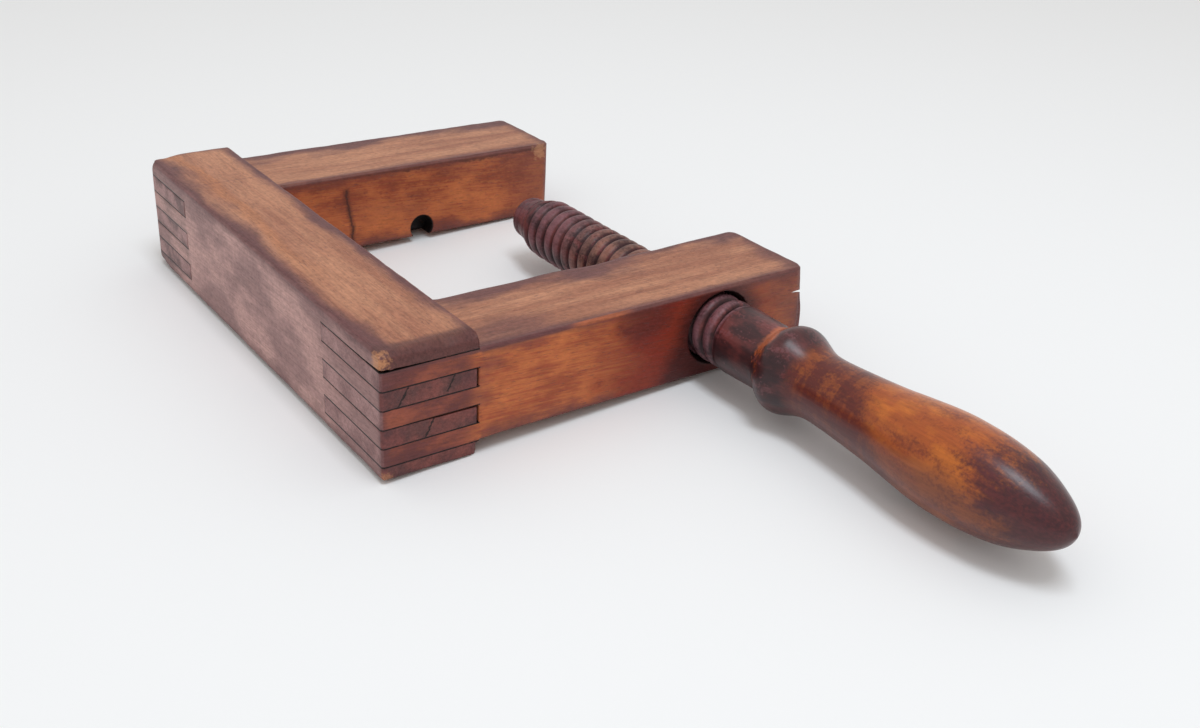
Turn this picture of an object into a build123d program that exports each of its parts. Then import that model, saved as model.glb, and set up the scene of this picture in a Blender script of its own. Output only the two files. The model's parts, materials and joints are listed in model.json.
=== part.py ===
from build123d import *
import os

# Small wooden bench clamp: a beam with two jaws finger-jointed into its ends,
# and a wooden screw turned in one piece with its handle.
# X runs along the jaws, Y along the beam and the screw, Z is up.
# The origin is the middle of the beam's underside, where the clamp lies on a bench.

# Beam
beam_length = 220.0
beam_width = 36.5

# Finger joints: the beam adds a cheek above and below the jaws' layers
jaw_layers = 5
layer = 7.0
top_cheek = 6.0
bottom_cheek = 5.25
glue_line = 0.1

# Jaws
jaw_width = 44.0
fixed_jaw_reach = 144.0
threaded_jaw_reach = 147.0

# Worn edges: the beam's far outer corner has lost more than its near one
near_corner_round = 1.2
far_corner_round = 6.0
edge_ease = 0.8
tip_round = 4.5

# Blind hole at the lower edge of the fixed jaw's inner face
blind_hole_radius = 5.9
blind_hole_depth = 8.0
blind_hole_reach = 73.4
blind_hole_height = 4.2

# Drying split in the threaded jaw's tip
split_height = 30.3
split_mouth = 1.4
split_depth = 6.0

# Screw axis, from the beam's inner face and the bench
screw_reach = 104.9
screw_height = 23.5

# Threaded length: a plain cylinder at the thread's crests, tapered to its root at the nose
crest_radius = 13.1
root_radius = 10.6
thread_outside = 12.0
thread_length = 140.0
thread_lead_in = 9.0

# Bore in the threaded jaw, flared at the handle's side
bore_clearance = 0.4
mouth_radius = 15.0
mouth_depth = 4.0

# Plain shank between the thread and the handle
shank_radius = 13.3
shank_end_radius = 12.9
shank_length = 19.0

# Collar bead, with its widest place as a share of its length
collar_radius = 16.7
collar_length = 20.0
collar_peak = 0.45

# Grip, with the places of its outline as shares of its length from the collar
waist_radius = 12.5
waist_end = 0.08
swell_radius = 14.5
swell_start = 0.31
grip_radius = 16.9
grip_widest = 0.58
grip_length = 110.5
grip_end_radius = 5.5
grip_end_round = 7.5

# Loose pad on the screw's nose, snapped over a turned button
pad_radius = 9.3
pad_floor = 2.0
pad_rim = 0.8
button_neck_radius = 3.5
button_neck_length = 2.2
button_head_radius = 4.3
button_head_length = 1.7
button_clearance = 0.3

# Worked out from the sizes above
jaw_height = jaw_layers * layer
jaw_top = bottom_cheek + jaw_height
beam_height = jaw_top + top_cheek
inner_face = beam_width / 2
beam_end = beam_length / 2
jaw_inner_y = beam_end - jaw_width
finger_bottoms = [bottom_cheek + n * layer for n in range(0, jaw_layers, 2)]
screw_x = inner_face + screw_reach
thread_start = -beam_end - thread_outside
thread_end = thread_start + thread_length
screw_axis = Axis((screw_x, 0, screw_height), (0, 1, 0))
profile_plane = Plane(origin=(screw_x, 0, screw_height), x_dir=(1, 0, 0), z_dir=(0, 0, 1))


def jaw(end, reach):
    """A jaw blank with its three fingers; end is 1 for the far jaw and -1 for the near one."""
    middle = end * (beam_end - jaw_width / 2)
    finger_width = jaw_width - glue_line
    finger_middle = end * (beam_end - finger_width / 2)
    with BuildPart() as blank:
        with BuildSketch(Plane.XY.offset(bottom_cheek)):
            with Locations((inner_face + reach / 2, middle)):
                Rectangle(reach, jaw_width)
        extrude(amount=jaw_height)
        fillet(blank.edges().filter_by(Axis.Z).group_by(Axis.X)[-1], tip_round)
        rims = blank.faces().sort_by(Axis.Z)[0].edges() + blank.faces().sort_by(Axis.Z)[-1].edges()
        chamfer(rims.filter_by(lambda edge: edge.center().X > inner_face + edge_ease), edge_ease)
        for bottom in finger_bottoms:
            with BuildSketch(Plane.XY.offset(bottom + glue_line)):
                with Locations((0, finger_middle)):
                    finger = Rectangle(beam_width, finger_width)
                outer_corners = finger.vertices().group_by(Axis.X)[0].sort_by(Axis.Y)
                if end > 0:
                    fillet(outer_corners[-1], far_corner_round)
                else:
                    fillet(outer_corners[0], near_corner_round)
            extrude(amount=layer - 2 * glue_line)
    return blank.part


with BuildPart() as spine:
    with BuildSketch() as outline:
        Rectangle(beam_width, beam_length)
        for corner, radius in ((0, near_corner_round), (-1, far_corner_round)):
            fillet(outline.vertices().group_by(Axis.X)[0].sort_by(Axis.Y)[corner], radius)
    extrude(amount=beam_height)
    chamfer(spine.faces().sort_by(Axis.Z)[0].edges() + spine.faces().sort_by(Axis.Z)[-1].edges(),
            edge_ease)
    for bottom in finger_bottoms:
        with BuildSketch(Plane.XY.offset(bottom)):
            with Locations((0, beam_end - jaw_width / 2), (0, -beam_end + jaw_width / 2)):
                Rectangle(beam_width, jaw_width)
        extrude(amount=layer, mode=Mode.SUBTRACT)
spine.part.label = "spine"

with BuildPart() as fixed_jaw:
    add(jaw(1, fixed_jaw_reach))
    with BuildSketch(Plane.XZ.offset(-jaw_inner_y)):
        with Locations((inner_face + blind_hole_reach, bottom_cheek + blind_hole_height)):
            Circle(blind_hole_radius)
    extrude(amount=-blind_hole_depth, mode=Mode.SUBTRACT)
fixed_jaw.part.label = "fixed_jaw"

with BuildPart() as threaded_jaw:
    add(jaw(-1, threaded_jaw_reach))
    bore_radius = crest_radius + bore_clearance
    with BuildSketch(profile_plane):
        with BuildLine():
            Polyline((0, -beam_end), (mouth_radius, -beam_end), (bore_radius, -beam_end + mouth_depth),
                     (bore_radius, -jaw_inner_y), (0, -jaw_inner_y), close=True)
        make_face()
    revolve(axis=screw_axis, mode=Mode.SUBTRACT)
    with BuildSketch(Plane.XZ.offset(beam_end)):
        with BuildLine():
            tip = inner_face + threaded_jaw_reach
            Polyline((tip, split_height - split_mouth / 2), (tip, split_height + split_mouth / 2),
                     (tip - split_depth, split_height), close=True)
        make_face()
    extrude(amount=-jaw_width, mode=Mode.SUBTRACT)
threaded_jaw.part.label = "threaded_jaw"

with BuildPart() as clamp_screw:
    collar_start = thread_start - shank_length
    collar_end = collar_start - collar_length
    grip_end = collar_end - grip_length
    neck_end = thread_end + button_neck_length
    with BuildSketch(profile_plane):
        with BuildLine():
            waist = Line((waist_radius, collar_end), (waist_radius, collar_end - waist_end * grip_length))
            flare = TangentArc(waist @ 1, (swell_radius, collar_end - swell_start * grip_length),
                               tangent=waist % 1)
            swell = TangentArc(flare @ 1, (grip_radius, collar_end - grip_widest * grip_length),
                               tangent=flare % 1)
            belly = TangentArc(swell @ 1, (grip_end_radius, grip_end), tangent=swell % 1)
            Line(belly @ 1, (0, grip_end))
            ThreePointArc(waist @ 0, (collar_radius, collar_start - collar_peak * collar_length),
                          (shank_end_radius, collar_start))
            Polyline((shank_end_radius, collar_start), (shank_radius, thread_start),
                     (crest_radius, thread_start), (crest_radius, thread_end - thread_lead_in),
                     (root_radius, thread_end), (button_neck_radius, thread_end),
                     (button_neck_radius, neck_end),
                     (button_head_radius, neck_end), (button_head_radius, neck_end + button_head_length),
                     (0, neck_end + button_head_length), (0, grip_end))
        turned = make_face()
        fillet(turned.vertices().sort_by_distance((grip_end_radius, grip_end))[0], grip_end_round)
    revolve(axis=screw_axis)
clamp_screw.part.label = "clamp_screw"

with BuildPart() as pressure_pad:
    pad_start = thread_end + button_clearance
    mouth = button_neck_radius + button_clearance
    cavity = button_head_radius + button_clearance
    cavity_start = neck_end - button_clearance
    cavity_end = neck_end + button_head_length + button_clearance
    pad_end = cavity_end + pad_floor
    with BuildSketch(profile_plane):
        with BuildLine():
            Polyline((mouth, pad_start), (pad_radius, pad_start), (pad_radius, pad_end), (0, pad_end),
                     (0, cavity_end), (cavity, cavity_end), (cavity, cavity_start),
                     (mouth, cavity_start), close=True)
        make_face()
    revolve(axis=screw_axis)
    chamfer(pressure_pad.faces().sort_by(Axis.Y)[-1].edges(), pad_rim)
pressure_pad.part.label = "pressure_pad"

os.makedirs("parts", exist_ok=True)
for piece in (spine, fixed_jaw, threaded_jaw, clamp_screw, pressure_pad):
    export_step(piece.part, f"parts/{piece.part.label}.step")
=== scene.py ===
"""A small wooden bench clamp: finger-jointed beam and jaws in worn, waxed wood, and a turned wooden screw."""

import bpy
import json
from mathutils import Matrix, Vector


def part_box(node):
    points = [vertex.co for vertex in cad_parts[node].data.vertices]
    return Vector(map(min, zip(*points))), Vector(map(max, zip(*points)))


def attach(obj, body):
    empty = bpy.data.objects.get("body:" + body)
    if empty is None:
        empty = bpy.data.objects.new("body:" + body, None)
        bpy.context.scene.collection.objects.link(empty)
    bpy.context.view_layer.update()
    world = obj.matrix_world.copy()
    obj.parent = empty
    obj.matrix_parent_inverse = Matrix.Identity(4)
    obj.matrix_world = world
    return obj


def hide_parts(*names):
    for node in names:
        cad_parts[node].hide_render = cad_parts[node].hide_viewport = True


bl_info = {
    "name": "Wooden Bench Clamp",
    "version": (1, 0, 0),
    "blender": (4, 5, 0),
    "location": "View3D > Sidebar > Clamp",
    "description": "Dresses a wooden bench clamp in worn, waxed wood",
    "category": "Object",
}

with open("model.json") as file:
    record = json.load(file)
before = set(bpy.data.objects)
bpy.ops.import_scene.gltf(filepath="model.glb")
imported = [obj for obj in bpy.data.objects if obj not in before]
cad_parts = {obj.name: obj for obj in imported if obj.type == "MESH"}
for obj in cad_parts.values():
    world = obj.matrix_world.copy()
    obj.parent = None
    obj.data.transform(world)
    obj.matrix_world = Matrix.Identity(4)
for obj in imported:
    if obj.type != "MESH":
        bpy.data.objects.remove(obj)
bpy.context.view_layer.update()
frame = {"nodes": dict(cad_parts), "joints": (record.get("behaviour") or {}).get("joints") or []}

import json
import math
from collections import namedtuple

import bmesh
import bpy
from bpy.props import FloatProperty, FloatVectorProperty, PointerProperty
from mathutils import Matrix, Vector, noise

MM = 0.001
X, Y, Z = range(3)

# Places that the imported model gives
spine_low, spine_high = (Vector(corner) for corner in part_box("spine"))
fixed_low, fixed_high = (Vector(corner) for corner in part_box("fixed_jaw"))
near_low, near_high = (Vector(corner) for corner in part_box("threaded_jaw"))
pad_low, pad_high = (Vector(corner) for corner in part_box("pressure_pad"))
SCREW_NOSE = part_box("clamp_screw")[1][Y]
turn_joint = next(joint for joint in frame["joints"] if joint["name"] == "screw_turn")
AXIS = Vector((turn_joint["pos_m"][X], 0, turn_joint["pos_m"][Z]))
JAW_BOTTOM, JAW_TOP = near_low.z, near_high.z
JAW_LAYERS = 5
LAYER_LINES = [JAW_BOTTOM + (JAW_TOP - JAW_BOTTOM) * n / JAW_LAYERS for n in range(JAW_LAYERS + 1)]
INNER_FACE, BEAM_END = spine_high.x, spine_high.y
NEAR_INNER, FAR_INNER = near_high.y, fixed_low.y

# Button that the pad turns on, and the room round it
BUTTON_CLEARANCE = 0.3 * MM
BUTTON_NECK = 3.5 * MM
BUTTON_NECK_LENGTH = 2.2 * MM
BUTTON_HEAD = 4.3 * MM

# Thread: it starts outside the near jaw, wears shallower in the throat and tapers to the nose
THREAD_OUTSIDE = 12.0 * MM
THREAD_START = near_low.y - THREAD_OUTSIDE
THREAD_END = pad_low.y - BUTTON_CLEARANCE
THREAD_ROW = 0.36 * MM
CREST_HALF_WIDTH = 2.9 * MM
CREST_POWER = 0.6
CREST_WOBBLE = 0.18 * MM
THROAT_WEAR = 0.3
LEAD_IN = 14.0 * MM
NOSE_TAPER = 3.5 * MM
NOSE_EASE = 0.3 * MM
BUTTON_HEAD_START = THREAD_END + BUTTON_NECK_LENGTH
PAD_ROUND = 3.2 * MM
TURN_STEPS = 132
RIM_STEPS = 8

# Handle's outline from its end to the thread: radius, and distance behind the near jaw's outer face, in mm
HANDLE_OUTLINE = (
    (0.0, 161.5), (5.1, 158.8), (9.6, 152.5), (14.1, 141.5), (16.3, 129.0), (16.9, 117.0), (16.6, 108.0),
    (15.3, 96.0), (14.1, 86.0), (12.9, 70.0), (12.4, 60.0), (12.5, 55.5), (12.9, 52.5), (13.8, 49.5),
    (15.2, 46.0), (16.4, 42.8), (16.7, 40.6), (16.4, 38.6), (15.4, 36.4), (13.9, 34.2), (13.0, 32.6),
    (12.9, 28.0), (13.3, 12.0))

# Wear: how far soil reaches from an edge, the faces' dents and how far they sink, and a bevel's softness
SOIL_REACH = 3.2 * MM
FACE_DENT = 0.14 * MM
FACE_SINK = 0.12 * MM
BEVEL_SOFTNESS = 0.3 * MM

# Near jaw's tip: its rounding, how much longer its lower side is, and the height and slant of its split
TIP_ROUND = 4.5 * MM
TIP_STRETCH = 1.7 * MM
SPLIT_HEIGHT, SPLIT_SLOPE = 30.3 * MM, 0.61

# Marks that the photograph shows, as pairs of (x, z) in mm: checks in the near end, and the far jaw's crack
END_CHECKS = (((-8.6, 32.6), (-11.8, 26.8)), ((8.7, 32.9), (6.3, 27.8)), ((0.8, 18.6), (-2.2, 12.5)))
JAW_CRACK = ((54.6, 33.0), (56.6, 7.5))

# Sizes for the materials, in mm: the far jaw's blind hole, the near jaw's bore, where the stain of the
# handle's waist ends behind the near jaw's outer face, and how far the growth rings wander
HOLE_CENTRE, HOLE_RADIUS, HOLE_DEPTH = (91.65, 9.45), 5.9, 8.0
BORE_RADIUS, MOUTH_RADIUS, MOUTH_DEPTH = 13.5, 15.0, 4.0
WAIST_STAIN_END = 95.0
RING_WANDER = 14.0

# Rise of the grain along a board, and the colour of the glue lines
GRAIN_SLANT = 0.05
SEAM_BLACK = (0.012, 0.006, 0.006)

# Stage, in metres, with a lens sensor in mm
BENCH_REACH = 60.0
BENCH_COLOUR = (0.92, 0.915, 0.91, 1.0)
ROOM_COLOUR = (1.0, 0.99, 0.975, 1.0)
LAMP_COLOUR = (0.84, 0.92, 1.0)
LAMP_WIDTH, LAMP_LENGTH = 0.3, 0.6
LAMP_PLACE = Vector((0.0, -0.35, 1.2))
SENSOR_WIDTH = 36.0

Pattern = namedtuple("Pattern", "streaks rings fibres flecks mottle stains speckle")
TurnedPattern = namedtuple("TurnedPattern", "fibres patches blotches speckle bands radius upward under")


class TimberSettings(bpy.types.PropertyGroup):
    """Grain, wear and colours of the beam and the jaws."""

    grid: FloatProperty(
        name="Grid", description="Spacing of the mesh that carries the wear",
        default=1.3 * MM, subtype="DISTANCE", unit="LENGTH")
    edge_wear: FloatProperty(
        name="Edge wear", description="Mean rounding that use has added to the edges",
        default=1.3 * MM, subtype="DISTANCE", unit="LENGTH")
    ring_gap: FloatProperty(
        name="Ring gap", description="Width of a growth ring",
        default=3.4 * MM, subtype="DISTANCE", unit="LENGTH")
    light: FloatVectorProperty(
        name="Light wood", description="Tops, where the finish has worn thin",
        default=(0.50, 0.225, 0.125), subtype="COLOR")
    brown: FloatVectorProperty(
        name="Brown wood", description="Darker streaks of the tops",
        default=(0.33, 0.125, 0.07), subtype="COLOR")
    amber: FloatVectorProperty(
        name="Amber wood", description="Sides under the full finish",
        default=(0.60, 0.175, 0.055), subtype="COLOR")
    rust: FloatVectorProperty(
        name="Rust wood", description="Darker parts of the sides",
        default=(0.31, 0.066, 0.028), subtype="COLOR")
    red: FloatVectorProperty(
        name="Red stain", description="Wood round the screw's mouth",
        default=(0.22, 0.024, 0.014), subtype="COLOR")
    end: FloatVectorProperty(
        name="End grain", description="Ends of the beam",
        default=(0.19, 0.056, 0.05), subtype="COLOR")
    soil: FloatVectorProperty(
        name="Soil", description="Soiled edges",
        default=(0.125, 0.044, 0.046), subtype="COLOR")
    # Pale grey of the outer side: partly a dull haze of the wood, partly a painted reflection of the room's
    # light
    grey: FloatVectorProperty(
        name="Grey bloom", description="Dull bloom on the beam's outer side",
        default=(0.50, 0.285, 0.255), subtype="COLOR")


class ScrewSettings(bpy.types.PropertyGroup):
    """Thread and colours of the turned screw."""

    pitch: FloatProperty(
        name="Pitch", description="Travel of one turn",
        default=6.3 * MM, subtype="DISTANCE", unit="LENGTH")
    crest: FloatProperty(
        name="Crest radius", description="Outer radius of the thread",
        default=13.1 * MM, subtype="DISTANCE", unit="LENGTH")
    depth: FloatProperty(
        name="Thread depth", description="Height of a crest over its groove",
        default=2.3 * MM, subtype="DISTANCE", unit="LENGTH")
    dark: FloatVectorProperty(
        name="Dark finish", description="Thread, shank and collar",
        default=(0.045, 0.012, 0.014), subtype="COLOR")
    # Worn wood of the crests and edges, with its bluish tint a painted sheen
    brown: FloatVectorProperty(
        name="Worn crest", description="Crests and edges where the finish has worn",
        default=(0.25, 0.115, 0.135), subtype="COLOR")
    orange: FloatVectorProperty(
        name="Grip", description="Polished wood of the grip",
        default=(0.52, 0.135, 0.017), subtype="COLOR")
    deep: FloatVectorProperty(
        name="Deep finish", description="Dark red patches of the grip",
        default=(0.115, 0.016, 0.010), subtype="COLOR")


class StageSettings(bpy.types.PropertyGroup):
    """Camera, lamps and floor."""

    eye: FloatVectorProperty(
        name="Camera", description="Place of the camera",
        default=(-0.1794, -0.4391, 0.2315), subtype="XYZ", unit="LENGTH")
    target: FloatVectorProperty(
        name="Target", description="Point in the middle of the picture",
        default=(0.0939, -0.0754, 0.0), subtype="XYZ", unit="LENGTH")
    roll: FloatProperty(
        name="Roll", description="Turn of the camera about its own axis",
        default=math.radians(3.34), subtype="ANGLE", unit="ROTATION")
    lens: FloatProperty(
        name="Lens", description="Focal length on a 36 mm sensor, in millimetres",
        default=38.89, unit="CAMERA")
    lean: FloatProperty(
        name="Lean", description="Tilt of the bench under a clamp that rests on its spine and jaw tips",
        default=math.radians(2.05), subtype="ANGLE", unit="ROTATION")
    room: FloatProperty(name="Room light", description="Strength of the even room light", default=0.69)
    lamp: FloatProperty(
        name="Ceiling lamp", description="Power of the soft lamp in watts",
        default=5.8, unit="POWER")


class Value:
    """A shader socket that takes part in sums as a number does."""

    def __init__(self, shader, socket):
        self.shader = shader
        self.socket = socket

    def _maths(self, operation, *values):
        return self.shader.value("ShaderNodeMath", {"operation": operation}, dict(enumerate(values)))

    def __add__(self, other):
        return self._maths("ADD", self, other)

    def __sub__(self, other):
        return self._maths("SUBTRACT", self, other)

    def __rsub__(self, other):
        return self._maths("SUBTRACT", other, self)

    def __mul__(self, other):
        return self._maths("MULTIPLY", self, other)

    def __truediv__(self, other):
        return self._maths("DIVIDE", self, other)

    def __pow__(self, other):
        return self._maths("POWER", self, other)

    def __abs__(self):
        return self._maths("ABSOLUTE", self)

    __radd__ = __add__
    __rmul__ = __mul__

    def sine(self):
        return self._maths("SINE", self)

    def least(self, other):
        return self._maths("MINIMUM", self, other)

    def most(self, other):
        return self._maths("MAXIMUM", self, other)

    def between(self, low, high):
        """0 where the value is low, 1 where it is high, and smooth between."""
        return self.shader.value(
            "ShaderNodeMapRange", {"interpolation_type": "SMOOTHSTEP"},
            {"Value": self, "From Min": low, "From Max": high})

    def swing(self, width):
        """Noise of 0 to 1 made a wander about 0, as wide as width."""
        return (self - 0.5) * width


class Shader:
    """One material and the nodes that are added to it."""

    def __init__(self, name):
        self.material = bpy.data.materials.new(name)
        self.material.use_nodes = True
        self.tree = self.material.node_tree
        self.tree.nodes.clear()

    def node(self, kind, settings=None, inputs=None):
        """Adds a node, makes its settings, then fills or links its sockets."""
        node = self.tree.nodes.new(kind)
        for name, setting in (settings or {}).items():
            setattr(node, name, setting)
        for name, value in (inputs or {}).items():
            if isinstance(value, Value):
                self.tree.links.new(value.socket, node.inputs[name])
            else:
                node.inputs[name].default_value = value
        return node

    def value(self, kind, settings=None, inputs=None, output=0):
        return Value(self, self.node(kind, settings, inputs).outputs[output])

    def place(self):
        """The point's row coordinates in millimetres."""
        point = self.value("ShaderNodeTexCoord", output="Object")
        parts = self.node("ShaderNodeSeparateXYZ", inputs={"Vector": point})
        return [Value(self, parts.outputs[axis]) * (1 / MM) for axis in (X, Y, Z)]

    def vector(self, x, y, z):
        return self.value("ShaderNodeCombineXYZ", inputs={"X": x, "Y": y, "Z": z})

    def attribute(self, name):
        return self.value("ShaderNodeAttribute", {"attribute_name": name}, output="Fac")

    def cloud(self, vector, detail=2.0, roughness=0.5):
        """Soft noise from 0 to 1 with lumps about one unit across."""
        return self.value("ShaderNodeTexNoise", inputs={
            "Vector": vector, "Scale": 1.0, "Detail": detail, "Roughness": roughness})

    def mix(self, factor, first, second, blend="MIX"):
        """One colour over another; plain colours are (r, g, b)."""
        colours = [c if isinstance(c, Value) else (*c, 1.0) for c in (first, second)]
        return self.value(
            "ShaderNodeMix", {"data_type": "RGBA", "blend_type": blend},
            {"Factor": factor, 6: colours[0], 7: colours[1]}, output=2)

    def shaded(self, colour, shade):
        """A colour made darker or lighter by a plain factor."""
        return self.mix(1.0, colour, self.vector(shade, shade, shade), "MULTIPLY")

    def finish(self, colour, roughness, relief, relief_height, shine, coat=0.0):
        """Joins the waxed surface to the output; relief_height is in millimetres."""
        normal = self.value(
            "ShaderNodeBump", inputs={"Strength": 1.0, "Distance": MM * relief_height, "Height": relief})
        surface = self.value(
            "ShaderNodeBsdfPrincipled",
            inputs={"Base Color": colour, "Roughness": roughness, "Normal": normal, "IOR": 1.48,
                    "Specular IOR Level": shine, "Coat Weight": coat, "Coat Roughness": 0.25})
        self.node("ShaderNodeOutputMaterial", inputs={"Surface": surface})
        return self.material


def distance(*parts):
    """Length of a vector from its parts."""
    return sum(part ** 2 for part in parts) ** 0.5


def timber_pattern(shader, place, along_axis, ring_gap, pith, seed):
    """Grain and stains of a board that runs along one axis, each from 0 to 1."""
    along = place[along_axis]
    side = place[Y if along_axis == X else X]
    height = place[Z] + along * GRAIN_SLANT
    wander = shader.cloud(shader.vector(side * 0.02, height * 0.02, along * 0.008 + seed), 1.0)
    radius = distance(side - pith[0], height - pith[1]) + wander * RING_WANDER
    return Pattern(
        streaks=shader.cloud(shader.vector(side * 0.13 + seed, height * 0.13, along * 0.012), 3.0),
        rings=(radius * (2 * math.pi / ring_gap)).sine() * 0.5 + 0.5,
        fibres=shader.cloud(shader.vector(side * 1.3, height * 1.3 + seed, along * 0.06), 3.0, 0.6),
        flecks=shader.cloud(
            shader.vector(side * 2.2 + seed, height * 2.2, along * 0.3), 1.0).between(0.62, 0.74),
        mottle=shader.cloud(shader.vector(side * 0.10, height * 0.10 + seed, along * 0.05), 4.0, 0.6),
        stains=shader.cloud(shader.vector(side * 0.05 + seed, height * 0.05, along * 0.025), 3.0, 0.55),
        speckle=shader.cloud(shader.vector(side * 0.7, height * 0.7, along * 0.5 + seed), 3.0, 0.6))


def timber_material(name, settings, along_axis, pith, seed, marks):
    """Waxed wood whose grain runs along one row axis; marks paints the piece's own patina."""
    shader = Shader(name)
    place = shader.place()
    pattern = timber_pattern(shader, place, along_axis, settings.ring_gap / MM, pith, seed)
    colour = shader.mix(pattern.streaks.between(0.32, 0.66), settings.light, settings.brown)
    colour = shader.mix(pattern.rings * 0.16, colour, settings.brown)
    colour = marks(shader, settings, place, colour, pattern, shader.attribute("edge"))
    shade = pattern.fibres.between(0.25, 0.75) * 0.34 + pattern.speckle.between(0.3, 0.7) * 0.24 + 0.72
    colour = shader.mix(pattern.flecks * 0.4, shader.shaded(colour, shade), settings.soil)
    relief = pattern.fibres * 0.5 + pattern.rings * 0.12 - pattern.flecks * 0.5 + pattern.speckle * 0.35
    roughness = 0.5 - pattern.speckle * 0.1
    return shader.finish(colour, roughness, relief, relief_height=0.18, shine=0.28)


def spot(place, centre, radius, speckle):
    """1 in a ragged round spot about a place in millimetres, fading to 0 past its radius."""
    away = distance(*(part - middle for part, middle in zip(place, centre)))
    return (away / radius + speckle - 0.5).between(1.1, 0.45)


def line_mask(value, centre, half_width):
    """1 on a thin line where value is centre."""
    return abs(value - centre).between(half_width, half_width * 0.35)


def crack(across, up, ends, half_width):
    """1 on a thin straight line between two ends, in the plane of across and up."""
    (start_across, start_up), (end_across, end_up) = ends
    run, rise = end_across - start_across, end_up - start_up
    length = math.hypot(run, rise)
    along = ((across - start_across) * run + (up - start_up) * rise) / length
    aside = abs((across - start_across) * rise - (up - start_up) * run) / length
    past_ends = abs(along - length / 2) - length / 2
    return aside.most(past_ends).between(half_width, half_width * 0.3)


def seams(place, pattern):
    """The dark glue lines of both finger joints, and the blotches round the far one's fingers."""
    x, y, z = place
    inner, outer, throat, top = (at / MM for at in (INNER_FACE, spine_low.x, FAR_INNER, JAW_TOP))

    def along_layers(height, half_width):
        return sum(line_mask(height, line / MM, half_width) for line in LAYER_LINES).least(1.0)

    joint = abs(y).between(throat - 0.4, throat + 0.1) * x.between(inner + 0.5, inner)
    lines = joint * along_layers(z, 0.42) * (pattern.speckle + pattern.mottle).between(0.62, 0.95)
    corner = x.between(outer + 3.25, outer + 0.75) * y.between(throat - 2, throat + 3)
    corner = corner * z.between(top + 2.75, top - 0.25)
    stained = along_layers(z + pattern.mottle.swing(3), 2.2) * pattern.mottle.between(0.35, 0.6) * 0.45
    blotches = pattern.mottle.between(0.42, 0.66) * 0.35
    return lines.most(corner * stained.most(blotches))


def mottled(shader, pattern, first, second):
    """Two colours in soft patches."""
    return shader.mix(pattern.mottle.between(0.35, 0.65), first, second)


def soiled(shader, settings, colour, edge, pattern, amount):
    """Colour with soiled, darkened edges."""
    soil = (edge * 1.1 + pattern.mottle.swing(1.1)).between(0.15, 0.85)
    return shader.mix(soil * amount, colour, settings.soil)


def spine_marks(shader, settings, place, colour, pattern, edge):
    """Patina of the beam: soiled rims and an orange band on top, a grey outer side that is partly a dull haze
    of the wood and partly a painted reflection, and dark ends.
    """
    x, y, z = place
    low, high = spine_low / MM, spine_high / MM
    rim = ((x - low.x).least(high.x - x) / 9 + pattern.stains.swing(2.6)).between(0.95, 0.1)
    glow = abs((x - low.x) / 9 + pattern.stains.swing(2.6) - 1.15).between(0.5, 0.1) * y.between(-60.0, 0.0)
    colour = shader.mix(glow * 0.33, colour, (0.50, 0.18, 0.06))
    colour = shader.mix(rim * 0.93, colour, settings.soil)
    inner = x.between(high.x - 1.6, high.x - 0.4)
    colour = shader.mix(inner, colour, mottled(shader, pattern, settings.amber, settings.rust))
    # The outer side is painted pale grey: partly a dull haze of the wood, partly a painted reflection of the
    # room's light
    outer = x.between(low.x + 1.4, low.x + 0.2)
    dull = pattern.stains.between(0.4, 0.62).most(y.between(-50.0, -95.0) * 0.95)
    bloom_and_sheen = shader.mix(dull, settings.grey, (0.29, 0.155, 0.145))
    colour = shader.mix(outer * 0.95, colour, bloom_and_sheen)
    colour = soiled(shader, settings, colour, edge, pattern, amount=0.7)
    end = abs(y).between(high.y - 2.0, high.y - 0.5)
    end_grain = mottled(shader, pattern, settings.end, (0.085, 0.034, 0.036))
    colour = shader.mix(end * 0.95, colour, end_grain)
    bevel = (high.z - z + y - low.y + pattern.mottle.swing(5)).between(8.5, 5.0)
    colour = shader.mix(bevel * 0.8, colour, (0.11, 0.04, 0.036))
    scribe = line_mask(y, FAR_INNER / MM, 0.45) * z.between(high.z - 2, high.z - 1)
    colour = shader.mix(scribe * 0.45, colour, settings.soil)
    colour = shader.mix(seams(place, pattern), colour, SEAM_BLACK)
    checks = sum(crack(x + pattern.speckle.swing(2.4), z, ends, 0.6) for ends in END_CHECKS).least(1.0)
    colour = shader.mix(checks * y.between(low.y + 1.0, low.y + 0.6), colour, (0.02, 0.01, 0.009))
    for centre, reach, strength in (((low.x + 1.0, low.y + 2.5, high.z - 3.5), 3.8, 0.8),
                                    ((low.x + 1.0, low.y, 0.8), 3.0, 0.4)):
        worn = spot(place, centre, reach, pattern.speckle * 2.0 - 0.5)
        colour = shader.mix(worn * strength, colour, (0.60, 0.27, 0.13))
    return colour


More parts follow.
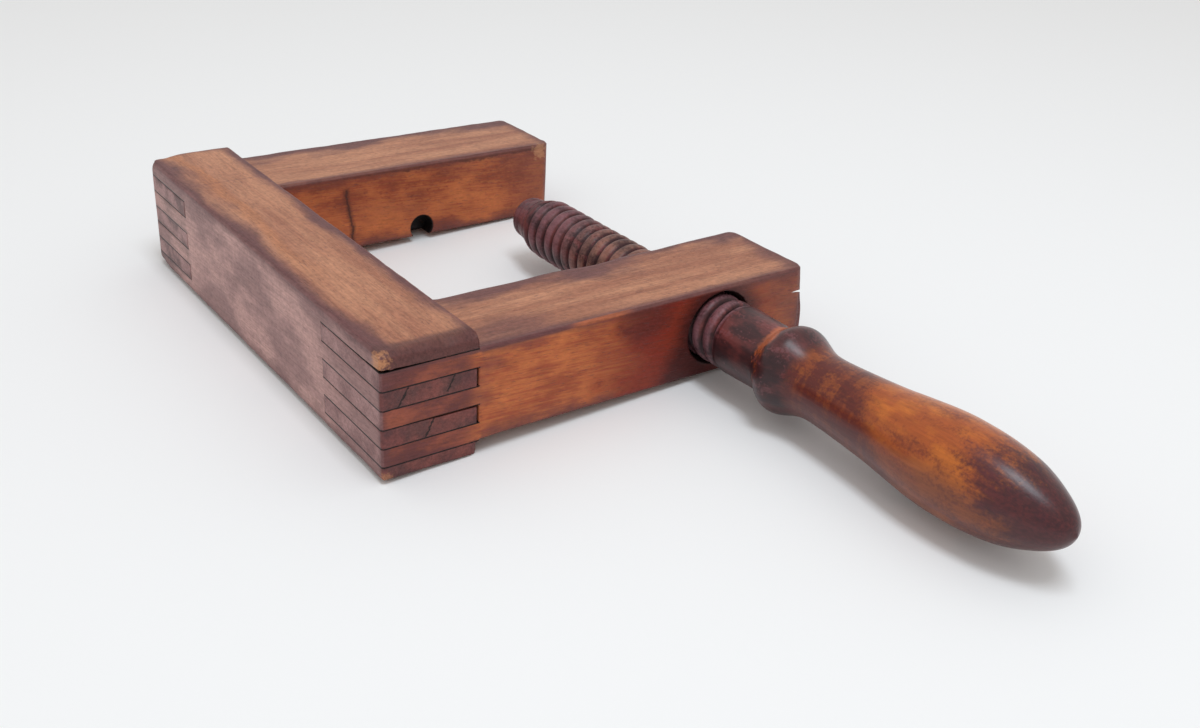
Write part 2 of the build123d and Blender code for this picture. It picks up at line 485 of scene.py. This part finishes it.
def jaw_marks(front, back, tip, stained, more):
    """Patina of a jaw whose side at y = front looks to the camera; more adds the marks of one jaw."""

    def marks(shader, settings, place, colour, pattern, edge):
        x, y, z = place
        top, bottom, joint, outer = (at / MM for at in (JAW_TOP, JAW_BOTTOM, INNER_FACE, spine_low.x))
        back_rim = (abs(y - back) / 14 + pattern.stains.swing(3.2)).between(1.15, 0.3)
        front_rim = (abs(y - front) / 5 + pattern.mottle.swing(2.6)).between(0.9, 0.1)
        tip_rim = ((tip - x) / 11 + pattern.stains.swing(2.2)).between(0.9, 0.1)
        colour = shader.mix(back_rim.most(front_rim * 0.7).most(tip_rim * 0.7) * 0.9, colour, settings.soil)
        side = z.between(top - 0.5, top - 1.8) * (
            abs(y - front).between(1.8, 0.5).most(abs(y - back).between(1.8, 0.5)))
        warm = (pattern.mottle * 0.45 + pattern.fibres * 0.4 + pattern.speckle * 0.15).between(0.41, 0.59)
        warm = shader.mix(warm, settings.amber, settings.rust)
        warm = shader.mix(pattern.stains.between(0.5, 0.64) * stained, warm, settings.soil)
        foot = z.between(bottom + 9, bottom) * pattern.mottle.between(0.3, 0.6)
        warm = shader.mix((x.between(tip - 32, tip - 4) * 0.4).most(foot * 0.55), warm, settings.soil)
        colour = shader.mix(side, colour, warm)
        ends = x.between(tip - 2.2, tip - 0.6)
        colour = shader.mix(ends * 0.8, colour, (0.22, 0.09, 0.075))
        in_joint = x.between(joint + 1.5, joint - 7)
        grimy = shader.mix((pattern.mottle * 0.7 + pattern.speckle * 0.3).between(0.4, 0.6),
                           (0.26, 0.068, 0.045), (0.115, 0.034, 0.034))
        colour = shader.mix(in_joint * 0.88, colour, grimy)
        finger_end = x.between(outer + 1.0, outer + 0.3)
        ashen = mottled(shader, pattern, (0.38, 0.21, 0.20), (0.24, 0.12, 0.115))
        colour = shader.mix(finger_end * 0.95, colour, ashen)
        colour = soiled(shader, settings, colour, edge, pattern, amount=0.66)
        colour = more(shader, settings, place, colour, pattern, side)
        return shader.mix(seams(place, pattern), colour, SEAM_BLACK)

    return marks


def jaw_material(node, settings, low, high, seed, stained, more):
    """Waxed wood of a jaw that fills the box from low to high."""
    marks = jaw_marks(low.y / MM, high.y / MM, high.x / MM, stained, more)
    pith = (low.y / MM + 20, -60.0)
    return timber_material(f"{node}_wood", settings, X, pith, seed, marks)


def far_marks(shader, settings, place, colour, pattern, side):
    """The far jaw's crack, the dark strip under its top edge, the painted shade that makes its hole black,
    and the pale chip at its tip.
    """
    x, y, z = place
    face, top = FAR_INNER / MM, JAW_TOP / MM
    wavy = x + pattern.mottle.swing(5) + pattern.speckle.swing(1.5)
    line = crack(wavy, z, JAW_CRACK, 2.2) * 0.45 + crack(wavy, z, JAW_CRACK, 0.8) * 0.4
    specks = (pattern.speckle * 0.6 + pattern.mottle * 0.5).between(0.54, 0.74)
    colour = shader.mix(side * (specks * 0.5 + 0.18), colour, (0.16, 0.036, 0.016))
    inner = y.between(face + HOLE_DEPTH + 2, face + HOLE_DEPTH + 1)
    colour = shader.mix(line * side * inner, colour, (0.05, 0.015, 0.012))
    below = (top - z) / 4 + pattern.mottle.swing(2.0) + pattern.speckle.swing(0.8)
    colour = shader.mix(below.between(0.75, 0.35) * side * 0.75, colour, (0.075, 0.022, 0.020))
    # Painted shade: the hole's walls and floor, and a thin ring at its edge, are painted near-black
    hole = distance(x - HOLE_CENTRE[0], z - HOLE_CENTRE[1]).between(HOLE_RADIUS + 0.5, HOLE_RADIUS - 0.1)
    depth = y.between(face - 0.5, face + 0.4)
    colour = shader.mix(hole * inner * (depth * 0.5 + 0.5), colour, (0.008, 0.006, 0.006))
    ragged = pattern.speckle * 2.4 + pattern.mottle - 1.2
    chip = spot(place, (fixed_high.x / MM - 6, face, top - 3), 4.5, ragged)
    return shader.mix(chip * 0.5, colour, (0.60, 0.30, 0.15))


def near_marks(shader, settings, place, colour, pattern, side):
    """A worn line on the front edge, the stain round the screw's mouth, painted shade round and below the
    mouth, and painted shade inside the mouth and the bore.
    """
    x, y, z = place
    face, top, axis_x, axis_z = (at / MM for at in (near_low.y, JAW_TOP, AXIS.x, AXIS.z))
    arris = abs(y - face).most(top - z).between(1.7, 0.8)
    rubbed = x.between(53.0, 60.0) * x.between(84.0, 74.0)
    colour = shader.mix(arris * (1 - rubbed) * 0.45, colour, settings.soil)
    colour = shader.mix(arris * rubbed * 0.6, colour, (0.55, 0.15, 0.055))
    dusk = spot(place, (34.0, face + 2, top), 22.0, pattern.mottle)
    colour = shader.mix(dusk * (1 - side) * 0.6, colour, settings.soil)
    stain = spot(place, (axis_x - 14, face, axis_z - 2), 44.0, pattern.mottle * 1.6 - 0.3)
    colour = shader.mix(stain * side * 0.9, colour, settings.red)
    burn = spot(place, (88.0, face, top - 2), 15.0, pattern.mottle * 1.4 - 0.2)
    colour = shader.mix(burn * side * 0.6, colour, (0.085, 0.020, 0.020))
    reach = distance(x - axis_x, z - axis_z)
    # Painted shade: a near-black ring round the screw where it meets the face, and a painted shadow below and
    # left of it
    rim = (reach + pattern.mottle.swing(8)).between(24.0, 14.5)
    shade = spot(place, (axis_x - 13, face, 8.0), 17.0, pattern.mottle)
    colour = shader.mix(rim.most(shade) * side * 0.82, colour, (0.04, 0.011, 0.012))
    # Painted shade: the countersunk mouth and the bore's wall are painted near-black
    mouth = reach.between(MOUTH_RADIUS + 0.2, MOUTH_RADIUS - 0.3)
    mouth = mouth * y.between(face + MOUTH_DEPTH + 1.5, face + MOUTH_DEPTH + 0.5)
    bore = reach.between(BORE_RADIUS + 0.4, BORE_RADIUS - 0.1)
    return shader.mix(mouth.most(bore), colour, (0.02, 0.008, 0.007))


def ramp(value, low, high):
    """Smooth step from 0 at low to 1 at high."""
    part = min(max((value - low) / (high - low), 0.0), 1.0)
    return part * part * (3 - 2 * part)


def round_block(point, low, high, radius):
    """Where a point of a sharp block goes when the block's edges are rounded by radius."""
    inner = Vector([min(max(point[axis], low[axis] + radius), high[axis] - radius) for axis in (X, Y, Z)])
    offset = point - inner
    longest = max(abs(part) for part in offset)
    return inner + offset * (longest / offset.length) if longest > 0 else point


def dense_copy(node, grid):
    """A bmesh of a node's solid, merged and cut into a grid of the given spacing."""
    bm = bmesh.new()
    bm.from_mesh(frame["nodes"][node].data)
    bmesh.ops.remove_doubles(bm, verts=bm.verts, dist=0.001 * MM)
    low, high = (Vector(corner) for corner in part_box(node))
    size = high - low
    for axis in sorted((X, Y, Z), key=lambda axis: -size[axis]):
        normal = Vector([float(axis == other) for other in (X, Y, Z)])
        steps = max(1, round(size[axis] / grid))
        for step in range(1, steps):
            bmesh.ops.bisect_plane(
                bm, geom=[*bm.verts, *bm.edges, *bm.faces], dist=0.02 * MM,
                plane_co=low + normal * size[axis] * step / steps, plane_no=normal)
    return bm


def past_joint(point):
    """Whether a point is on a jaw's free length."""
    return point.x > INNER_FACE + 0.01 * MM


def block_around(point, low, high):
    """The box whose edges are worn at a point: the beam's outer ones in the joints, else the piece's own."""
    if past_joint(point):
        return low, high
    return spine_low, Vector((high.x, spine_high.y, spine_high.z))


def wear_radius(point, wear):
    """How far use has rounded the timbers' edges at a point."""
    x, y, z = point
    if past_joint(point):
        if y < 0:
            front = ramp(-y, BEAM_END - 10 * MM, BEAM_END - 2 * MM)
        else:
            front = ramp(-y, -FAR_INNER - 8 * MM, -FAR_INNER - 2 * MM)
        crisp = front * ramp(z, JAW_TOP - 8 * MM, JAW_TOP - 2 * MM)
        return wear * ramp(x, INNER_FACE, INNER_FACE + 6 * MM) * (1 - 0.75 * crisp)
    in_joint = ramp(abs(y), FAR_INNER - 4 * MM, FAR_INNER + 2 * MM) * ramp(x, 0, INNER_FACE)
    between_cheeks = ramp(z, 3 * MM, 6 * MM) * ramp(-z, -JAW_TOP - 1 * MM, -JAW_TOP + 1 * MM)
    near_outer = ramp(-y, BEAM_END - 12 * MM, BEAM_END - 2 * MM) * ramp(-x, 8 * MM, 16 * MM)
    near_cheek = ramp(-y, BEAM_END - 22 * MM, BEAM_END - 8 * MM) * ramp(x, 2 * MM, 12 * MM)
    far_outer = ramp(y, BEAM_END - 18 * MM, BEAM_END - 2 * MM) * ramp(-x, 2 * MM, 14 * MM)
    wear = wear * (1 - 0.9 * in_joint * between_cheeks) * (1 - 0.5 * near_outer)
    return wear * (1 - 0.85 * near_cheek) * (1 + 2.4 * far_outer)


def wear_block(bm, low, high, wear):
    """Rounds the edges unevenly, dents the faces a little and notes how near each vertex is to an edge."""
    edge = bm.verts.layers.float.new("edge")
    beam_middle = (spine_low + spine_high) / 2
    own_middle = (low + high) / 2
    for vert in bm.verts:
        point = vert.co
        box_low, box_high = block_around(point, low, high)
        inside = sorted(min(point[axis] - box_low[axis], box_high[axis] - point[axis]) for axis in (X, Y, Z))
        vert[edge] = math.exp(-max(inside[1], 0) / SOIL_REACH)
        slow = noise.noise(point * 45)
        quick = noise.noise(point * 210 + Vector((0, 7, 0)))
        here = wear_radius(point, wear) * (1 + 0.5 * slow + 0.3 * quick)
        worn = round_block(point, box_low, box_high, max(here, 0.05 * MM))
        dent = noise.noise(point * 60 + Vector((0, 0, 7))) * FACE_DENT
        middle = beam_middle.lerp(own_middle, ramp(point.x, INNER_FACE, 2 * INNER_FACE))
        vert.co = worn + (worn - middle).normalized() * (dent - FACE_SINK) * (1 - vert[edge] * 0.5)


def wear_edge(bm, first, second, middle, reach):
    """Wears one edge of a block to a soft bevel; first and second are the (axis, place) of its faces."""
    for vert in bm.verts:
        away = sum(abs(vert.co[axis] - face) for axis, face in (first, second))
        depth = (reach(vert.co) - away) / 2
        if depth < -2 * MM:
            continue
        push = (depth + math.hypot(depth, BEVEL_SOFTNESS)) / 2
        for axis, face in (first, second):
            vert.co[axis] += math.copysign(push, middle[axis] - face)


def open_joint(bm):
    """Opens the near joint's glue lines: under the top cheek at the outer corner, and at two shoulders."""
    near = 0.3 * MM
    for vert in bm.verts:
        x, y, z = vert.co
        if y > NEAR_INNER:
            continue
        if abs(z - JAW_TOP) < near:
            corner = math.hypot(x - spine_low.x, y - spine_low.y)
            vert.co.z += 1.0 * MM * math.exp(-corner / (13 * MM))
        if abs(z - LAYER_LINES[2]) < near:
            end = ramp(-y, BEAM_END - 12 * MM, BEAM_END - 2 * MM)
            vert.co.z -= 0.7 * MM * ramp(x, -12 * MM, 6 * MM) * end
        for layer in (1, 3):
            in_layer = LAYER_LINES[layer] - 0.2 * MM < z < LAYER_LINES[layer + 1] + 0.2 * MM
            if in_layer and x > INNER_FACE - 0.4 * MM:
                vert.co.x -= 1.0 * MM * ramp(-y, BEAM_END - 10 * MM, BEAM_END - 2 * MM)


def shape_tip(bm):
    """Slants the split in the near jaw's tip, and makes the tip squarer and longer towards its lower side."""
    arc_x, arc_y = near_high.x - TIP_ROUND, near_low.y + TIP_ROUND
    for vert in bm.verts:
        x, y, z = vert.co
        lower = ramp(JAW_TOP - z, 0, 24 * MM)
        out, front = x - arc_x, arc_y - y
        if min(out, front) > 0:
            square = (math.hypot(out, front) / max(out, front)) ** (0.75 * lower ** 0.5)
            vert.co.x, vert.co.y = arc_x + out * square, arc_y - front * square
        vert.co.x += TIP_STRETCH * lower * ramp(x, near_high.x - 20.25 * MM, near_high.x)
        by_split = ramp(x, near_high.x - 10.25 * MM, near_high.x - 5.75 * MM)
        by_split *= 1 - ramp(abs(z - SPLIT_HEIGHT), 1 * MM, 8 * MM)
        vert.co.z -= SPLIT_SLOPE * min(y - near_low.y, 6 * MM) * by_split


def make_object(name, bm, material, body, nodes):
    """Turns a bmesh into a finished piece that stands for the named nodes."""
    mesh = bpy.data.meshes.new(name)
    bm.to_mesh(mesh)
    bm.free()
    mesh.shade_smooth()
    mesh.materials.append(material)
    piece = bpy.data.objects.new(name, mesh)
    bpy.context.scene.collection.objects.link(piece)
    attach(piece, body)
    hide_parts(*nodes)
    return piece


class CLAMP_OT_spine(bpy.types.Operator):
    """Make the beam with its fingers"""

    bl_idname = "clamp.spine"
    bl_label = "Spine"

    def execute(self, context):
        settings = context.scene.clamp_timber
        material = timber_material(
            "spine_wood", settings, along_axis=Y, pith=(-30.0, -45.0), seed=3.1, marks=spine_marks)
        bm = dense_copy("spine", settings.grid)
        wear_block(bm, spine_low, spine_high, settings.edge_wear)
        middle = (spine_low + spine_high) / 2

        def bevel_reach(point):
            along = ramp(point.x, spine_low.x, spine_high.x)
            return (2.0 + 1.8 * along) * MM * (1 + 0.4 * noise.noise(point * 130))

        def corner_reach(point):
            bottom = 1 - ramp(point.z, JAW_BOTTOM - 0.5 * MM, JAW_BOTTOM)
            top = ramp(point.z, JAW_TOP, JAW_TOP + 0.5 * MM)
            return (3.2 * bottom + 0.6 * top - 1.0) * MM

        wear_edge(bm, (Y, spine_low.y), (Z, spine_high.z), middle, bevel_reach)
        wear_edge(bm, (X, spine_high.x), (Y, spine_low.y), middle, corner_reach)
        open_joint(bm)
        make_object("spine_worn", bm, material, "frame", ["spine"])
        return {"FINISHED"}


class CLAMP_OT_jaws(bpy.types.Operator):
    """Make the fixed jaw and the threaded jaw"""

    bl_idname = "clamp.jaws"
    bl_label = "Jaws"

    def execute(self, context):
        settings = context.scene.clamp_timber
        material = jaw_material(
            "fixed_jaw", settings, fixed_low, fixed_high, seed=21.0, stained=0.2, more=far_marks)
        bm = dense_copy("fixed_jaw", settings.grid)
        wear_block(bm, fixed_low, fixed_high, settings.edge_wear)
        make_object("fixed_jaw_worn", bm, material, "frame", ["fixed_jaw"])

        material = jaw_material(
            "threaded_jaw", settings, near_low, near_high, seed=34.0, stained=0.4, more=near_marks)
        bm = dense_copy("threaded_jaw", settings.grid)
        shape_tip(bm)
        wear_block(bm, near_low, near_high, settings.edge_wear)

        def wavy_reach(point):
            joint_end = ramp(point.x, INNER_FACE, INNER_FACE + 8 * MM)
            free_end = ramp(near_high.x - point.x, 5 * MM, 40 * MM)
            return 2.0 * MM * (1 + 1.1 * noise.noise(Vector((point.x * 48, 4, 2)))) * joint_end * free_end

        wear_edge(bm, (Y, near_high.y), (Z, near_high.z), (near_low + near_high) / 2, wavy_reach)
        make_object("threaded_jaw_worn", bm, material, "frame", ["threaded_jaw"])
        return {"FINISHED"}


def through(points, gap):
    """Points spaced about gap apart on a smooth curve through the given (radius, place) points."""
    first, last = points[0] * 2 - points[1], points[-1] * 2 - points[-2]
    ends = [first, *points, last]
    curve = []
    for before, start, stop, after in zip(ends, ends[1:], ends[2:], ends[3:]):
        steps = max(1, round((stop - start).length / gap))
        for step in range(steps):
            t = step / steps
            curve.append(0.5 * (2 * start + (stop - before) * t
                                + (2 * before - 5 * start + 4 * stop - after) * t * t
                                + (3 * start - 3 * stop + after - before) * t ** 3))
    return [*curve, points[-1]]


def turn(outline, steps):
    """A bmesh of an outline of (radius, y) points turned about the screw's axis."""
    bm = bmesh.new()
    verts = [bm.verts.new((AXIS.x, y, AXIS.z + radius)) for radius, y in outline]
    edges = [bm.edges.new(pair) for pair in zip(verts, verts[1:])]
    bmesh.ops.spin(bm, geom=[*verts, *edges], cent=AXIS, axis=(0, 1, 0), angle=2 * math.pi,
                   steps=steps, use_merge=True)
    bmesh.ops.remove_doubles(bm, verts=bm.verts, dist=0.005 * MM)
    bmesh.ops.recalc_face_normals(bm, faces=bm.faces)
    return bm


def cut_thread(bm, settings):
    """Presses a helical groove with rounded crests into the plain cylinder, and tapers its nose."""
    start, end = THREAD_START, THREAD_END
    for vert in bm.verts:
        y = vert.co.y
        if not start - THREAD_ROW / 2 <= y <= end + THREAD_ROW / 2:
            continue
        spoke = Vector((vert.co.x - AXIS.x, 0, vert.co.z - AXIS.z))
        if spoke.length < settings.crest - 0.1 * MM:
            continue
        turned = math.atan2(spoke.x, spoke.z) / (2 * math.pi)
        phase = (y - start) / settings.pitch - turned
        away = abs(phase - round(phase)) * settings.pitch
        height = max(1 - (away / CREST_HALF_WIDTH) ** 2, 0) ** CREST_POWER
        wobble = noise.noise(vert.co * 160) * CREST_WOBBLE
        depth = settings.depth * (1 - THROAT_WEAR * ramp(y, near_low.y, NEAR_INNER))
        groove = depth * (1 - height) * ramp(y, start, start + 3 * MM) - wobble * height
        lead_in = NOSE_TAPER * (1 - ramp(end - y, 0, LEAD_IN))
        vert.co -= spoke.normalized() * max(lead_in, groove + lead_in * 0.6)


def turned_pattern(shader, place):
    """Grain and patches of the screw from 0 to 1, and which way its surface faces."""
    x, y, z = place
    side, height = x - AXIS.x / MM, z - AXIS.z / MM
    radius = distance(side, height)
    upward = height / radius
    patches = shader.cloud(shader.vector(side * 0.10 + 3.0, height * 0.10, y * 0.055), 4.0, 0.62)
    return TurnedPattern(
        fibres=shader.cloud(shader.vector(side * 1.1, height * 1.1, y * 0.10), 3.0, 0.6),
        patches=patches,
        blotches=shader.cloud(shader.vector(side * 0.20, height * 0.20 + 9.0, y * 0.075), 4.0, 0.6),
        speckle=shader.cloud(shader.vector(x * 0.9, y * 0.9, z * 0.9), 3.0, 0.6),
        bands=shader.cloud(shader.vector(y * 0.35, side * 0.03, height * 0.03)),
        radius=radius,
        upward=upward,
        # under marks where the surface faces down and to the left, for painted shade
        under=(upward + side / radius * 0.6 + patches.swing(0.8)).between(0.1, -0.75))


def dark_finish(shader, settings, pattern, behind):
    """Thread, shank and collar: nearly black with redder patches, darkest on the bead, with painted shade
    underneath.
    """
    colour = shader.mix(pattern.patches.between(0.42, 0.62), settings.dark, (0.14, 0.030, 0.028))
    red = (pattern.blotches + pattern.speckle * 0.3).between(0.68, 0.78)
    colour = shader.mix(red * 0.4, colour, (0.22, 0.022, 0.014))
    bead = behind.between(29.5, 33.0) * behind.between(49.0, 45.0)
    # Painted shade on the underside, and the bead darkened
    return shader.mix((pattern.under * 0.6).most(bead * 0.45), colour, (0.018, 0.008, 0.011))


def grip_finish(shader, settings, pattern, behind):
    """Grip: polished orange-brown with dark mottling, a stained waist, a dark tip, and painted shade
    underneath.
    """
    patches, blotches, speckle = pattern.patches, pattern.blotches, pattern.speckle
    colour = shader.mix(patches.between(0.4, 0.62) * 0.6, settings.orange, (0.28, 0.042, 0.012))
    mottle = (blotches * 0.6 + speckle * 0.25 + pattern.fibres * 0.3).between(0.54, 0.78)
    colour = shader.mix(mottle * 0.62, colour, settings.deep)
    specks = (speckle * 0.5 + blotches * 0.8).between(0.62, 0.9)
    colour = shader.mix(specks * 0.4, colour, settings.deep)
    # The waist is stained, and the stain reaches further along the underside, where it is also painted shade
    waist = behind - WAIST_STAIN_END + patches.swing(24) + speckle.swing(20) + pattern.upward * 13
    spots = (blotches + speckle * 0.6).between(0.7, 0.9)
    ringed = pattern.bands.between(0.62, 0.38) * 0.25 + spots * 0.3 + 0.62
    colour = shader.mix(waist.between(5.0, -7.0) * ringed.least(1.0), colour, settings.deep)
    tip = (behind + patches.swing(46) + blotches.swing(30) + speckle.swing(22)).between(122.0, 146.0)
    reddish = (speckle * 0.6 + pattern.fibres * 0.4 + patches.swing(0.8)).between(0.35, 0.75)
    # The tip's dark purple wood, with its blue raised as a painted bluish sheen
    tip_wood = shader.mix(reddish * 0.7, (0.034, 0.009, 0.018), (0.11, 0.018, 0.020))
    colour = shader.mix(tip * 0.95, colour, tip_wood)
    # Painted shade on the grip's underside
    return shader.mix(pattern.under * 0.66, colour, (0.075, 0.02, 0.022))


def thread_marks(shader, settings, pattern, behind, colour):
    """Crests and nose that have worn pale, with a painted bluish sheen on the crests, and grooves painted
    dark as shade.
    """
    crest_top = settings.crest / MM
    outside = THREAD_OUTSIDE / MM
    nose = (near_low.y - THREAD_END) / MM
    threaded = behind.between(outside + 0.8, outside - 0.8)
    crest = pattern.radius.between(crest_top - 0.9, crest_top - 0.2) * threaded
    throat = behind.between(nose + 30, nose + 62) * behind.between(-18.0, -42.0)
    rubbed = shader.mix(throat, settings.brown, (0.34, 0.17, 0.12))
    worn = (pattern.speckle * 0.4 + pattern.patches * 0.6).between(0.3, 0.6)
    # Worn crests painted pale in the worn-crest colour, whose bluish tint is a painted sheen
    colour = shader.mix(crest.most(behind.between(nose + 14, nose + 6) * 0.5) * worn * 0.62, colour, rubbed)
    # Painted shade: the grooves are painted near-black
    groove = pattern.radius.between(crest_top - 0.8, crest_top - 1.7) * threaded
    groove = groove * behind.between(nose + 4, nose + 14)
    return shader.mix(groove * 0.7, colour, (0.020, 0.008, 0.009))


def screw_material(settings):
    """Turned wood, whose finish changes with the distance in mm behind the near jaw's outer face."""
    shader = Shader("turned_wood")
    place = shader.place()
    behind = near_low.y / MM - place[Y]
    pattern = turned_pattern(shader, place)
    fibres, patches, blotches, speckle = pattern[:4]
    dark = dark_finish(shader, settings, pattern, behind)
    grip = grip_finish(shader, settings, pattern, behind)
    colour = shader.mix(behind.between(48.0, 53.0), dark, grip)
    # Worn patches on the thread, shank and collar, in the worn-crest colour with its painted bluish sheen
    worn_patch = (blotches * 0.7 + speckle * 0.5).between(0.62, 0.74)
    colour = shader.mix(worn_patch * behind.between(50.0, 47.0) * 0.25, colour, settings.brown)
    colour = thread_marks(shader, settings, pattern, behind, colour)
    # The orange worn edge where the collar rises from the shank, shown more on its upper side as a painted
    # glint
    arris = line_mask(behind + blotches.swing(7), 34.6, 4.0)
    arris = arris * (speckle * 0.6 + patches + pattern.upward * 0.3).between(0.8, 1.0)
    colour = shader.mix(arris * 0.8, colour, (0.50, 0.11, 0.026))
    colour = shader.shaded(colour, fibres.between(0.25, 0.75) * 0.3 + 0.82)
    roughness = 0.38 - behind.between(28.0, 40.0) * 0.10 + speckle * 0.10
    coat = behind.between(11.0, 20.0) * 0.27 + 0.03
    relief = fibres * 0.5 + speckle * 0.4
    return shader.finish(colour, roughness, relief, relief_height=0.10, shine=0.3, coat=coat)


class CLAMP_OT_screw(bpy.types.Operator):
    """Make the screw with its handle, and the pad on its nose"""

    bl_idname = "clamp.screw"
    bl_label = "Screw"

    def execute(self, context):
        settings = context.scene.clamp_screw
        face = near_low.y
        handle = [Vector((radius * MM, face - behind * MM)) for radius, behind in HANDLE_OUTLINE]
        thread_rows = round((THREAD_END - THREAD_START) / THREAD_ROW)
        thread = [(settings.crest, THREAD_START + (THREAD_END - THREAD_START) * row / thread_rows)
                  for row in range(thread_rows + 1)]
        nose = [(settings.crest - NOSE_TAPER - NOSE_EASE, THREAD_END), (BUTTON_NECK, THREAD_END),
                (BUTTON_NECK, BUTTON_HEAD_START), (BUTTON_HEAD, BUTTON_HEAD_START),
                (BUTTON_HEAD, SCREW_NOSE), (0, SCREW_NOSE)]
        outline = [*through(handle, 1.0 * MM), *thread, *nose]
        bm = turn(outline, TURN_STEPS)
        cut_thread(bm, settings)
        material = screw_material(settings)
        make_object("screw_turned", bm, material, "screw", ["clamp_screw"])
        make_object("pad_turned", turn(self.pad_outline(), TURN_STEPS), material, "pad",
                    ["pressure_pad"])
        return {"FINISHED"}

    def pad_outline(self):
        """The pad from the middle of its face, over its worn rim and round the button's pocket."""
        radius = pad_high.x - AXIS.x
        mouth, pocket = BUTTON_NECK + BUTTON_CLEARANCE, BUTTON_HEAD + BUTTON_CLEARANCE
        angles = [math.pi / 2 * step / RIM_STEPS for step in range(RIM_STEPS + 1)]
        rim = [(radius - PAD_ROUND * (1 - math.sin(turned)), pad_high.y - PAD_ROUND * (1 - math.cos(turned)))
               for turned in angles]
        return [(0, pad_high.y), *rim, (radius, pad_low.y), (mouth, pad_low.y),
                (mouth, BUTTON_HEAD_START - BUTTON_CLEARANCE), (pocket, BUTTON_HEAD_START - BUTTON_CLEARANCE),
                (pocket, SCREW_NOSE + BUTTON_CLEARANCE), (0, SCREW_NOSE + BUTTON_CLEARANCE)]


class CLAMP_OT_stage(bpy.types.Operator):
    """Set up the floor, the light and the camera"""

    bl_idname = "clamp.stage"
    bl_label = "Stage"

    def execute(self, context):
        settings = context.scene.clamp_stage
        self.floor(settings)
        self.light(settings)
        self.camera(settings)
        context.scene.view_settings.view_transform = "Standard"
        return {"FINISHED"}

    def floor(self, settings):
        """A pale bench, tilted so that the clamp rests on its spine and the tips of its jaws."""
        shader = Shader("pale_bench")
        surface = shader.value(
            "ShaderNodeBsdfPrincipled", inputs={"Base Color": BENCH_COLOUR, "Roughness": 0.9})
        shader.node("ShaderNodeOutputMaterial", inputs={"Surface": surface})
        bm = bmesh.new()
        bmesh.ops.create_grid(bm, x_segments=2, y_segments=2, size=BENCH_REACH)
        heel = Vector((INNER_FACE, 0, 0))
        bmesh.ops.transform(bm, matrix=Matrix.Translation(heel) @ Matrix.Rotation(-settings.lean, 4, "Y"),
                            verts=bm.verts)
        mesh = bpy.data.meshes.new("bench")
        bm.to_mesh(mesh)
        bm.free()
        mesh.materials.append(shader.material)
        bench = bpy.data.objects.new("bench", mesh)
        bpy.context.scene.collection.objects.link(bench)

    def light(self, settings):
        """An even pale room and one large soft lamp above the clamp."""
        world = bpy.data.worlds.new("room")
        world.use_nodes = True
        background = world.node_tree.nodes["Background"]
        background.inputs["Color"].default_value = ROOM_COLOUR
        background.inputs["Strength"].default_value = settings.room
        bpy.context.scene.world = world
        lamp = bpy.data.lights.new("ceiling", "AREA")
        lamp.shape = "RECTANGLE"
        lamp.size = LAMP_WIDTH
        lamp.size_y = LAMP_LENGTH
        lamp.energy = settings.lamp
        lamp.color = LAMP_COLOUR
        ceiling = bpy.data.objects.new("ceiling", lamp)
        ceiling.location = LAMP_PLACE
        ceiling.rotation_euler = (-LAMP_PLACE).to_track_quat("-Z", "Y").to_euler()
        bpy.context.scene.collection.objects.link(ceiling)

    def camera(self, settings):
        """The photograph's view."""
        lens = bpy.data.cameras.new("camera")
        lens.lens = settings.lens
        lens.sensor_width = SENSOR_WIDTH
        lens.clip_start = 0.01
        camera = bpy.data.objects.new("camera", lens)
        eye = Vector(settings.eye)
        aim = (Vector(settings.target) - eye).to_track_quat("-Z", "Y").to_matrix().to_4x4()
        camera.matrix_world = Matrix.Translation(eye) @ aim @ Matrix.Rotation(settings.roll, 4, "Z")
        bpy.context.scene.collection.objects.link(camera)
        bpy.context.scene.camera = camera


class CLAMP_PT_panel(bpy.types.Panel):
    """Builds the clamp piece by piece"""

    bl_idname = "CLAMP_PT_panel"
    bl_label = "Wooden clamp"
    bl_space_type = "VIEW_3D"
    bl_region_type = "UI"
    bl_category = "Clamp"

    def draw(self, context):
        for operator in OPERATORS:
            self.layout.operator(operator.bl_idname)
        for settings in (context.scene.clamp_timber, context.scene.clamp_screw, context.scene.clamp_stage):
            box = self.layout.box()
            for name in settings.__annotations__:
                box.prop(settings, name)


OPERATORS = (CLAMP_OT_spine, CLAMP_OT_jaws, CLAMP_OT_screw, CLAMP_OT_stage)
CLASSES = (TimberSettings, ScrewSettings, StageSettings, *OPERATORS, CLAMP_PT_panel)


def register():
    for cls in CLASSES:
        bpy.utils.register_class(cls)
    bpy.types.Scene.clamp_timber = PointerProperty(type=TimberSettings)
    bpy.types.Scene.clamp_screw = PointerProperty(type=ScrewSettings)
    bpy.types.Scene.clamp_stage = PointerProperty(type=StageSettings)


def unregister():
    del bpy.types.Scene.clamp_timber
    del bpy.types.Scene.clamp_screw
    del bpy.types.Scene.clamp_stage
    for cls in reversed(CLASSES):
        bpy.utils.unregister_class(cls)


def main():
    register()
    for step in (bpy.ops.clamp.spine, bpy.ops.clamp.jaws, bpy.ops.clamp.screw, bpy.ops.clamp.stage):
        step()


if __name__ == "__main__":
    main()
